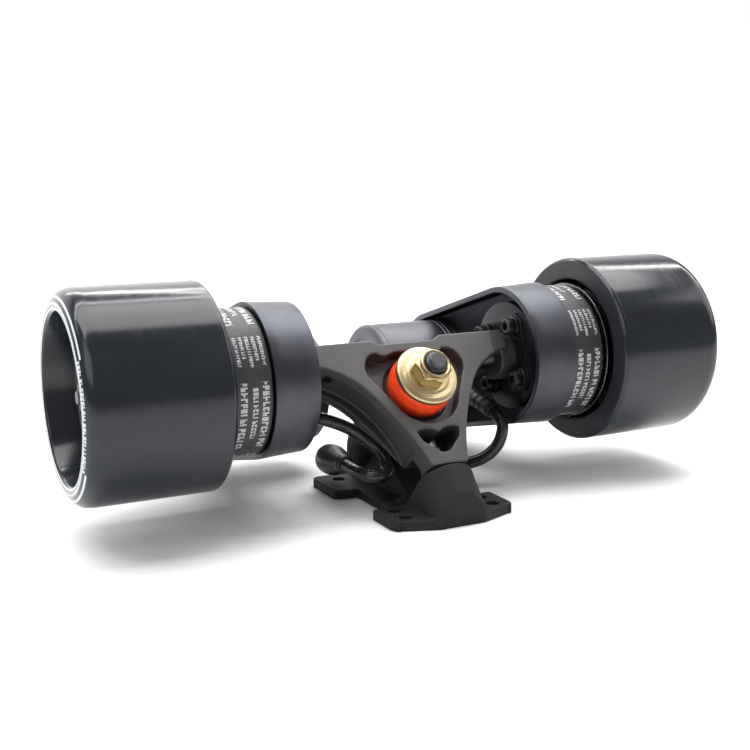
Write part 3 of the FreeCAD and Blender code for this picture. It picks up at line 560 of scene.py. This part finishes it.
def settle(piece):
    """Applies the piece's modifiers to its mesh."""
    depsgraph = bpy.context.evaluated_depsgraph_get()
    made = bpy.data.meshes.new_from_object(piece.evaluated_get(depsgraph))
    made.name = piece.name
    piece.modifiers.clear()
    piece.data = made


def socket_screw(name, seat, axis, size):
    """The black head of a screw, rising from seat along the axis, with a hexagon socket.

    size is (head radius, head height, socket radius, socket depth)."""
    head_radius, head_height, socket, depth = size
    side, other = sideways(axis)
    segments = 48
    rings = [
        (0.0, head_radius - 0.15, False),
        (0.2, head_radius, False),
        (head_height - 0.6, head_radius, False),
        (head_height - 0.25, head_radius - 0.12, False),
        (head_height, head_radius - 0.5, False),
        (head_height, socket + 0.35, False),
        (head_height - 0.3, socket, True),
        (head_height - depth, socket, True),
        (head_height - depth - 0.7, 0.05, False),
    ]
    points, faces = [], []
    for height, radius, hexagonal in rings:
        for step in range(segments):
            angle = 2 * math.pi * step / segments
            reach = radius
            if hexagonal:
                within = (angle % (math.pi / 3)) - math.pi / 6
                reach = radius * math.cos(math.pi / 6) / math.cos(within)
            outward = side * math.cos(angle) + other * math.sin(angle)
            points.append(seat + axis * height + outward * reach)
    for ring in range(len(rings) - 1):
        for step in range(segments):
            a, b = ring * segments + step, ring * segments + (step + 1) % segments
            faces.append((a, b, b + segments, a + segments))
    faces.append(tuple(range(segments)))
    faces.append(tuple(range(len(points) - segments, len(points))))
    mesh = mesh_of(name, points, faces, 30)
    return add_piece(name, mesh, HANGER, "bright_steel", material="black_oxide")


def nut_mesh(name, centre, axis, corner, bore, start, end, collar, turn):
    """A hexagon nut with chamfered corners on both faces, and a round collar of (radius, height).

    start and end are distances along the axis, and turn sets the flats."""
    axis = axis.normalized()
    side, other = sideways(axis)
    flat = corner * math.cos(math.pi / 6)
    chamfer = (corner - flat) * 0.75
    radius, height = collar
    direction = 1 if end > start else -1
    rings = [
        (start, lambda reach: bore),
        (start, lambda reach: min(reach, flat - 0.1)),
        (start + direction * chamfer * 0.6, lambda reach: min(reach, (flat + corner) / 2)),
        (start + direction * chamfer, lambda reach: reach),
        (end - direction * chamfer, lambda reach: reach),
        (end - direction * chamfer * 0.6, lambda reach: min(reach, (flat + corner) / 2)),
        (end, lambda reach: min(reach, flat - 0.1)),
        (end, lambda reach: radius + 0.4),
        (end + direction * 0.3, lambda reach: radius),
        (end + direction * (height - 0.4), lambda reach: radius),
        (end + direction * height, lambda reach: radius - 0.6),
        (end + direction * (height - 0.25), lambda reach: bore + 0.5),
        (end + direction * (height - 0.6), lambda reach: bore),
    ]
    segments = 96
    points, faces = [], []
    for distance, reach_of in rings:
        for step in range(segments):
            angle = 2 * math.pi * step / segments
            within = ((angle - turn) % (math.pi / 3)) - math.pi / 6
            reach = reach_of(flat / math.cos(within))
            outward = side * math.cos(angle) + other * math.sin(angle)
            points.append(centre + axis * distance + outward * reach)
    for ring in range(len(rings)):
        below, above = ring * segments, ((ring + 1) % len(rings)) * segments
        for step in range(segments):
            following = (step + 1) % segments
            faces.append((below + step, below + following, above + following, above + step))
    return mesh_of(name, points, faces, 25)


def rod_mesh(name, centre, axis, radius, start, end, thread_from):
    """A rod whose far stretch carries a thread, with a chamfered tip."""
    pitch, depth, tip, segments = 1.25, 0.35, 1.5, 64
    direction = 1 if end > start else -1
    profile = [(start, 0.0), (start, radius - 0.3), (start + direction * 0.4, radius)]
    length = abs(end - thread_from)
    steps = int(length / pitch * 8)
    for step in range(steps + 1):
        distance = thread_from + direction * length * step / steps
        taper = min(1.0, abs(end - distance) / tip)
        profile.append((distance, radius - tip * (1 - taper)))
    profile.append((end, 0.0))

    def thread(distance, angle):
        if (distance - thread_from) * direction < 0 or abs(end - distance) < 0.05:
            return 0.0
        phase = (abs(distance) / pitch - direction * angle / (2 * math.pi)) % 1.0
        return -depth * abs(2 * phase - 1)

    return lathe(name, profile, centre, axis, segments, thread)


# ---------------------------------------------------------------- base and kingpin stack


def base_parts():
    casting("baseplate", "baseplate_casting", "base", "base_black")
    # half sections: distance along the kingpin from the ring's centre, and radius
    road_bushing = [
        (2.6, 5.0),
        (2.6, 12.9),
        (4.2, 13.5),
        (9.0, 13.95),
        (12.5, 13.3),
        (15.45, 12.2),
        (15.45, 5.0),
    ]
    board_bushing = [
        (-17.55, 5.0),
        (-17.55, 12.6),
        (-15.6, 13.4),
        (-10.0, 13.2),
        (-6.6, 11.4),
        (-3.65, 11.0),
        (-3.65, 5.0),
    ]
    board_washer = [
        (-19.9, 5.0),
        (-19.9, 13.3),
        (-19.4, 13.6),
        (-17.7, 13.6),
        (-17.7, 5.0),
    ]
    road_washer = [
        (15.6, 5.0),
        (15.6, 12.0),
        (14.6, 12.9),
        (14.65, 13.6),
        (16.2, 13.7),
        (17.1, 13.2),
        (17.5, 11.6),
        (17.5, 9.6),
        (18.0, 8.8),
        (18.0, 5.0),
    ]
    turned = [
        ("board_washer", board_washer, 0.3),
        ("road_washer", road_washer, 0.35),
    ]
    for name, profile, rounding in turned:
        mesh = lathe(name + "_turned", rounded(profile, rounding, 4), RING, KINGPIN_AXIS, 96)
        add_piece(name + "_turned", mesh, "base", "yellow_zinc", (name,))
    bushings = [
        ("road_bushing", road_bushing, 0.9, 2.6, 15.45),
        ("board_bushing", board_bushing, 0.7, -3.65, -17.55),
    ]
    for name, profile, rounding, ring_end, washer_end in bushings:
        mesh = lathe(name + "_moulded", rounded(profile, rounding, 4), RING, KINGPIN_AXIS, 96)
        piece = add_piece(name + "_moulded", mesh, None, "orange_urethane", (name,))
        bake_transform(piece)
    locknut = nut_mesh("kingpin_locknut", RING, KINGPIN_AXIS, corner=8.2, bore=4.9, start=18.05,
                       end=24.05, collar=(6.6, 2.4), turn=math.radians(12))
    add_piece("kingpin_locknut", locknut, "base", "yellow_zinc", ("kingpin_nut",))
    bolt = rod_mesh("kingpin_bolt", RING, KINGPIN_AXIS, radius=4.75, start=-39.9, end=28.8,
                    thread_from=17.0)
    add_piece("kingpin_bolt", bolt, "base", "steel", ("kingpin",), "black_oxide")


# ---------------------------------------------------------------- hanger, motors and drive


def hanger_parts():
    casting("hanger", "hanger_casting", HANGER)
    fasteners = []
    for name, side in SIDES.items():
        housing, shell = name + "_drive_housing", name + "_drive_shell"
        # the shell's cavities and wheel-side rim are given painted shade
        paint_shade_inside(softened(housing, shell, HANGER, 0.45, merge=0.02), side)
        # the clamp flange's black is partly its black anodised finish and partly painted shade from the shell's
        # shaded inside
        softened(name + "_mount_flange", name + "_clamp_flange", HANGER, 0.3, "anodised_black")
        softened(name + "_motor_front_plate", name + "_motor_flange", HANGER, 0.3)
        motor_pieces(name, side)
        belt(name, side)
        fasteners += mount_screws(name, side)
        label = name + "_axle_locknut"
        mesh = nut_mesh(label, AXLE, X_AXIS * side, corner=7.5, bore=4.05, start=131.75, end=136.4,
                        collar=(5.9, 2.2), turn=math.radians(10))
        fasteners.append(add_piece(label, mesh, HANGER, "steel", material="black_oxide"))
    targets = (
        ("mount_bolts", "mount_screw"),
        ("motor_screws", "motor_screw"),
        ("axle_nuts", "axle_locknut"),
    )
    for target, part_of_name in targets:
        for piece in fasteners:
            if part_of_name in piece.name:
                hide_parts(target)
    for name, side in SIDES.items():
        label = name + "_axle_end"
        mesh = rod_mesh(label, AXLE, X_AXIS * side, radius=4.0, start=0.0, end=140.0, thread_from=128.0)
        add_piece(label, mesh, HANGER, "steel", ("axle",), "black_oxide")


def paint_shade_inside(shell, side):
    """The shell's cavities and its rim on the wheel side get the black material as painted shade, for the shade
    the shell casts into itself.
    """
    shell.data.materials.append(MATERIALS["anodised_black"])
    outer_wall, motor_side = 0.3, -0.5
    for face in shell.data.polygons:
        centre = face.center / MM - AXLE
        centre.x = 0
        reach = min(max(centre.dot(ALONG_DRIVE), 0), DRIVE_REACH)
        outward = face.normal.dot((centre - ALONG_DRIVE * reach).normalized())
        if outward < outer_wall and face.normal.x * side > motor_side:
            face.material_index = 1


def around(centre, radius, angle, x):
    """The point at x on a circle about a line along X through centre."""
    spot = centre + Vector((0, math.cos(angle), math.sin(angle))) * radius
    return Vector((x, spot.y, spot.z))


def mount_screws(name, side):
    """Four screws through the clamp flange, with washers, and four that hold the motor to the web."""
    clamp_circle, washer_seat_x, head_seat_x = 16.55, 53.5, 52.4
    motor_circle, web_x = 16.0, 64.0
    washer_section = [(0, 2.1), (0, 4.6), (1.1, 4.6), (1.1, 2.1)]
    made = []
    inward = X_AXIS * -side
    for index in range(4):
        angle = DRIVE_ANGLE + math.radians(45 + 90 * index)
        seat = around(AXLE, clamp_circle, angle, side * washer_seat_x)
        mesh = lathe("washer", rounded(washer_section, 0.25), seat, inward, 48)
        label = "%s_mount_screw_washer_%d" % (name, index + 1)
        made.append(add_piece(label, mesh, HANGER, "bright_steel", material="black_oxide"))
        label = "%s_mount_screw_%d" % (name, index + 1)
        seat = around(AXLE, clamp_circle, angle, side * head_seat_x)
        made.append(socket_screw(label, seat, inward, (3.75, 3.8, 1.9, 1.8)))
        label = "%s_motor_screw_%d" % (name, index + 1)
        seat = around(MOTOR, motor_circle, angle, side * web_x)
        made.append(socket_screw(label, seat, X_AXIS * side, (3.4, 2.8, 1.6, 1.5)))
    return made


def motor_pieces(name, side):
    """The round case with its grooves, and the end cap with bearing seat and small screws."""
    screw_circle, cap_face_x = 15.0, 16.6
    # half sections: distance from the middle plane, and radius
    case = [(19.0, 24.0), (57.5, 24.0), (57.5, 26.0)]
    for groove in (54.0, 52.0):
        case += [(groove + 0.5, 26.0), (groove + 0.3, 25.6), (groove - 0.3, 25.6), (groove - 0.5, 26.0)]
    case.append((19.0, 26.0))
    mesh = lathe(name + "_motor_can", rounded(case, 0.15, 2), MOTOR, X_AXIS * side, 128)
    add_piece(name + "_motor_can", mesh, HANGER, "motor_grey", (name + "_motor_case",))
    cap = [
        (16.3, 0.0),
        (16.3, 5.2),
        (15.9, 5.6),
        (15.9, 10.4),
        (16.5, 10.8),
        (16.5, 19.4),
        (15.5, 20.4),
        (15.5, 24.6),
        (16.9, 26.0),
        (19.0, 26.0),
        (19.0, 13.0),
        (26.0, 13.0),
        (26.0, 11.1),
        (19.0, 11.1),
        (19.0, 0.0),
    ]
    mesh = lathe(name + "_motor_cap", rounded(cap, 0.3, 3), MOTOR, X_AXIS * side, 128)
    add_piece(name + "_motor_cap", mesh, HANGER, "motor_grey", (name + "_motor_end_cap",))
    for index in range(4):
        seat = around(MOTOR, screw_circle, math.radians(45 + 90 * index), side * cap_face_x)
        label = "%s_cap_screw_%d" % (name, index + 1)
        socket_screw(label, seat, X_AXIS * -side, (1.9, 1.0, 0.95, 0.6))


def belt_path():
    """The belt's pitch line, in millimetres from the axle along and up from the drive line.

    Returns a function that turns a distance along the line into a point and the direction out of
    the belt there, then the line's length, and the angle where it first meets the wheel pulley."""
    wheel, motor = WHEEL_PITCH_RADIUS, MOTOR_PITCH_RADIUS
    lean = math.acos((wheel - motor) / DRIVE_REACH)
    straight = DRIVE_REACH * math.sin(lean)
    wheel_arc, motor_arc = wheel * 2 * (math.pi - lean), motor * 2 * lean
    total = wheel_arc + motor_arc + 2 * straight

    def on_arc(middle, radius, angle):
        outward = (math.cos(angle), math.sin(angle))
        return (middle + outward[0] * radius, outward[1] * radius), outward

    def on_straight(middle, radius, angle, distance):
        start, outward = on_arc(middle, radius, angle)
        return (start[0] - outward[1] * distance, start[1] + outward[0] * distance), outward

    def at(distance):
        distance %= total
        if distance < wheel_arc:
            return on_arc(0, wheel, lean + distance / wheel)
        distance -= wheel_arc
        if distance < straight:
            return on_straight(0, wheel, -lean, distance)
        distance -= straight
        if distance < motor_arc:
            return on_arc(DRIVE_REACH, motor, -lean + distance / motor)
        return on_straight(DRIVE_REACH, motor, lean, distance - motor_arc)

    return at, total, lean


def belt(name, side):
    """A toothed belt round both pulleys. Its UV map runs along and across it."""
    at, total, lean = belt_path()
    count = round(total / BELT_PITCH)
    steps_per_tooth = 16
    steps = count * steps_per_tooth
    # heights outward from the pitch line, the tooth's depth below its root, and the edge's bevel
    back, root, tooth, edge = 1.72, -0.26, 1.85, 0.35
    half_tooth_by_pitch = 0.31
    # a tooth sits in the pulley space that points straight up from the drive line
    first_tooth = (math.pi / 2 - lean) * WHEEL_PITCH_RADIUS
    columns = [
        (BELT_INNER_X + edge, "back"),
        (BELT_INNER_X, "edge"),
        (BELT_INNER_X, "tooth"),
        (BELT_OUTER_X, "tooth"),
        (BELT_OUTER_X, "edge"),
        (BELT_OUTER_X - edge, "back"),
    ]
    points, faces, uvs = [], [], []
    for step in range(steps):
        distance = total * step / steps
        (u, v), outward = at(distance)
        phase = ((distance - first_tooth) / (total / count) + 0.5) % 1.0 - 0.5
        bulge = max(0.0, 1 - (abs(phase) / half_tooth_by_pitch) ** 3)
        lifts = {"back": back, "edge": back - edge, "tooth": root - tooth * bulge}
        for x, kind in columns:
            y, z = u + outward[0] * lifts[kind], v + outward[1] * lifts[kind]
            points.append(Vector((side * x, AXLE.y, AXLE.z)) + ALONG_DRIVE * y + UP_DRIVE * z)
    width = len(columns)
    for step in range(steps):
        here, ahead = step * width, (step + 1) % steps * width
        start, end = total * step / steps, total * (step + 1) / steps
        for index in range(width):
            after = (index + 1) % width
            faces.append((here + index, here + after, ahead + after, ahead + index))
            low, high = columns[index][0] - BELT_INNER_X, columns[after][0] - BELT_INNER_X
            uvs.append([(start, low), (start, high), (end, high), (end, low)])
    mesh = bpy.data.meshes.new(name + "_toothed_belt")
    mesh.from_pydata([tuple(point * MM) for point in points], [], faces)
    layer = mesh.uv_layers.new(name="UVMap")
    for polygon, corners in zip(mesh.polygons, uvs):
        for loop, corner in zip(polygon.loop_indices, corners):
            layer.data[loop].uv = (corner[0] / UV_UNIT, corner[1] / UV_UNIT)
    shape = bmesh.new()
    shape.from_mesh(mesh)
    bmesh.ops.recalc_face_normals(shape, faces=shape.faces)
    shape.to_mesh(mesh)
    shape.free()
    shade(mesh, 40)
    add_piece(name + "_toothed_belt", mesh, HANGER, "belt_rubber", (name + "_drive_belt",))


# ---------------------------------------------------------------- wheels


def wheel_parts(name, side):
    body = name + "_wheel"
    # half section: distance from the middle plane, radius, and rounding where it differs
    tyre = [
        (90.0, 33.0),
        (90.0, 41.1, 0.5),
        (91.3, 42.5, 0.7),
        (139.4, 42.5),
        (142.4, 41.9),
        (144.6, 40.2),
        (145.8, 38.3),
        (146.2, 37.5),
        (146.2, 34.4),
        (145.4, 33.4),
        (133.0, 31.2),
        (132.2, 30.4),
        (132.2, 27.5),
        (98.0, 27.5),
        (96.0, 30.0),
        (91.2, 32.2),
    ]
    mesh = lathe(name + "_cast_tyre", rounded(tyre, 1.6, 5), AXLE, X_AXIS * side, 192)
    add_piece(name + "_cast_tyre", mesh, body, "tyre_black", (name + "_tyre",))
    softened(name + "_wheel_core", name + "_spoked_core", body, 0.35)
    softened(name + "_belt_flange", name + "_pulley_rim", body, 0.2)
    bearings(name, side, body)


def bearings(name, side, body):
    """Shielded ball bearings: outer race, recessed shield and inner race in one outline."""
    width = 7.0
    for index, start in enumerate((124.0, 100.0)):
        half = [(0.0, 4.05), (0.0, 6.0), (0.35, 6.3), (0.35, 9.3), (0.0, 9.6), (0.0, 11.0)]
        profile = [(start + depth, radius) for depth, radius in half]
        profile += [(start + width - depth, radius) for depth, radius in reversed(half)]
        label = "%s_bearing_%d" % (name, index + 1)
        mesh = lathe(label, rounded(profile, 0.2, 2), AXLE, X_AXIS * side, 96)
        add_piece(label, mesh, body, "steel", (name + "_wheel_bearings",))


# ---------------------------------------------------------------- cables


def cable(name, route):
    curve = bpy.data.curves.new(name + "_cable", "CURVE")
    curve.dimensions = "3D"
    curve.bevel_depth = CABLE_DIAMETER / 2 * MM
    curve.bevel_resolution = 8
    curve.use_fill_caps = True
    curve.resolution_u = 16
    spline = curve.splines.new("NURBS")
    spline.points.add(len(route) - 1)
    for point, place in zip(spline.points, route):
        point.co = (*(coordinate * MM for coordinate in place), 1)
    spline.order_u = 3
    spline.use_endpoint_u = True
    piece = bpy.data.objects.new(name + "_cable", curve)
    bpy.context.scene.collection.objects.link(piece)
    paint(piece, "cable_black")
    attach(piece, HANGER)
    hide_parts(name + "_motor_cable")
    return piece


def spline_length(piece):
    """The length of a cable's centre line, in metres."""
    bare = piece.data.copy()
    bare.bevel_depth = 0
    bare.use_fill_caps = False
    probe = bpy.data.objects.new("probe", bare)
    bpy.context.scene.collection.objects.link(probe)
    bpy.context.view_layer.update()
    depsgraph = bpy.context.evaluated_depsgraph_get()
    line = bpy.data.meshes.new_from_object(probe.evaluated_get(depsgraph))
    places = [vertex.co for vertex in line.vertices]
    ends = (edge.vertices for edge in line.edges)
    length = sum((places[a] - places[b]).length for a, b in ends)
    bpy.data.objects.remove(probe)
    return length


def strain_relief(name, start, end):
    """A tapered boot with moulded ribs."""
    start, end = Vector(start), Vector(end)
    length = (end - start).length
    profile = [(0.0, 0.0), (0.0, 4.4)]
    ribs = 9
    gap = length * 0.8 / ribs
    for rib in range(ribs):
        at = length * (0.12 + 0.80 * rib / ribs)
        radius = 4.3 - 0.6 * rib / ribs
        profile += [(at, radius), (at + gap * 0.3, radius - 0.3), (at + gap * 0.6, radius - 0.3)]
    profile += [(length * 0.95, 3.7), (length, 3.3), (length, 0.0)]
    mesh = lathe(name + "_boot", rounded(profile, 0.3, 2), start, end - start, 64)
    add_piece(name + "_boot", mesh, HANGER, "black_rubber", (name + "_strain_relief",))


def plug(name, start, end):
    """A rubber boot: a neck, a bulb and a domed far end."""
    start, end = Vector(start), Vector(end)
    length = (end - start).length
    profile = [
        (0.0, 0.0),
        (0.0, 3.6),
        (length * 0.05, 4.05),
        (length * 0.14, 4.1),
        (length * 0.17, 3.9),
        (length * 0.20, 4.2),
        (length * 0.34, 5.3),
        (length * 0.52, 6.55),
        (length * 0.70, 6.9),
        (length * 0.86, 6.6),
        (length * 0.95, 5.6),
        (length * 0.985, 3.0),
        (length, 1.2),
        (length, 0.0),
    ]
    mesh = lathe(name + "_plug_boot", rounded(profile, 1.2, 4), start, end - start, 64)
    return add_piece(name + "_plug_boot", mesh, HANGER, "black_rubber", (name + "_plug",))


def cables():
    sides = (
        ("left", LEFT_ROUTE, LEFT_MOTOR_EXIT, LEFT_PLUG_END),
        ("right", RIGHT_ROUTE, RIGHT_MOTOR_EXIT, RIGHT_PLUG_END),
    )
    for name, route, motor_exit, plug_end in sides:
        strain_relief(name, motor_exit, route[0])
        boot = plug(name, route[-1], plug_end)
        piece = cable(name, route)
        spline_length(piece)


# ---------------------------------------------------------------- studio


def add_camera():
    place = Vector((-235.84, -427.73, 148.94)) * MM
    data = bpy.data.cameras.new("camera")
    data.sensor_width = 36.0
    data.lens = 55.9
    data.clip_start = 0.01
    camera = bpy.data.objects.new("camera", data)
    bpy.context.scene.collection.objects.link(camera)
    azimuth, elevation, roll = math.radians(-26.99), math.radians(10.87), math.radians(-0.38)
    level = math.cos(elevation)
    back = Vector((math.sin(azimuth) * level, -math.cos(azimuth) * level, math.sin(elevation)))
    right = Z_AXIS.cross(back).normalized()
    up = back.cross(right)
    turned_right = right * math.cos(roll) + up * math.sin(roll)
    turned_up = up * math.cos(roll) - right * math.sin(roll)
    matrix = Matrix((turned_right, turned_up, back)).transposed().to_4x4()
    matrix.translation = place
    camera.matrix_world = matrix
    bpy.context.scene.camera = camera


def add_light(name, place, target, size, power):
    data = bpy.data.lights.new(name, "AREA")
    data.shape = "RECTANGLE"
    data.size, data.size_y = size
    data.energy = power
    light = bpy.data.objects.new(name, data)
    bpy.context.scene.collection.objects.link(light)
    light.location = place
    light.rotation_mode = "QUATERNION"
    light.rotation_quaternion = (Vector(target) - Vector(place)).to_track_quat("-Z", "Y")


def add_studio():
    """A pale floor that curves up into a wall behind the part, an even sky and six lamps.

    Its lengths are in metres."""
    front, bend_from, bend_radius, rise, half_width = -3.0, 1.5, 1.0, 2.5, 5.0
    gap_below_part = 0.00005
    outline = [(front, 0.0), (bend_from, 0.0)]
    for step in range(1, 13):
        angle = math.radians(90 * step / 12)
        height = bend_radius * (1 - math.cos(angle))
        outline.append((bend_from + bend_radius * math.sin(angle), height))
    outline.append((bend_from + bend_radius, rise))
    points, faces = [], []
    for x in (-half_width, half_width):
        points += [(x, y, z - gap_below_part) for y, z in outline]
    count = len(outline)
    for index in range(count - 1):
        faces.append((index, count + index, count + index + 1, index + 1))
    mesh = bpy.data.meshes.new("studio_floor")
    mesh.from_pydata(points, [], faces)
    mesh.shade_smooth()
    mesh.materials.append(floor_material())
    floor = bpy.data.objects.new("studio_floor", mesh)
    bpy.context.scene.collection.objects.link(floor)

    world = bpy.data.worlds.new("studio")
    bpy.context.scene.world = world
    world.use_nodes = True
    background = world.node_tree.nodes["Background"]
    background.inputs["Color"].default_value = (1.0, 1.0, 1.0, 1)
    background.inputs["Strength"].default_value = 0.3
    target = (0, 0, 0.05)
    add_light("overhead", (0.0, 0.15, 1.3), target, (2.2, 0.8), 28)
    add_light("left_window", (-1.3, -0.6, 0.9), target, (1.0, 0.9), 5)
    add_light("right_window", (1.4, -0.2, 0.8), target, (0.9, 0.9), 5)
    add_light("rear_tube", (0.45, 0.72, 0.82), target, (2.2, 0.02), 5)
    add_light("top_tube", (0.45, 0.1, 0.95), target, (2.2, 0.02), 4)
    add_light("wall_wash", (0.0, 0.9, 1.6), (0.0, 2.3, 0.35), (4.5, 0.5), 90)
    bpy.context.scene.view_settings.view_transform = "Standard"


# ---------------------------------------------------------------- the scene

add_camera()
cables()
base_parts()
hanger_parts()
for name, side in SIDES.items():
    wheel_parts(name, side)
for node, piece in nodes.items():
    paint(piece, finish_of(node))
add_studio()
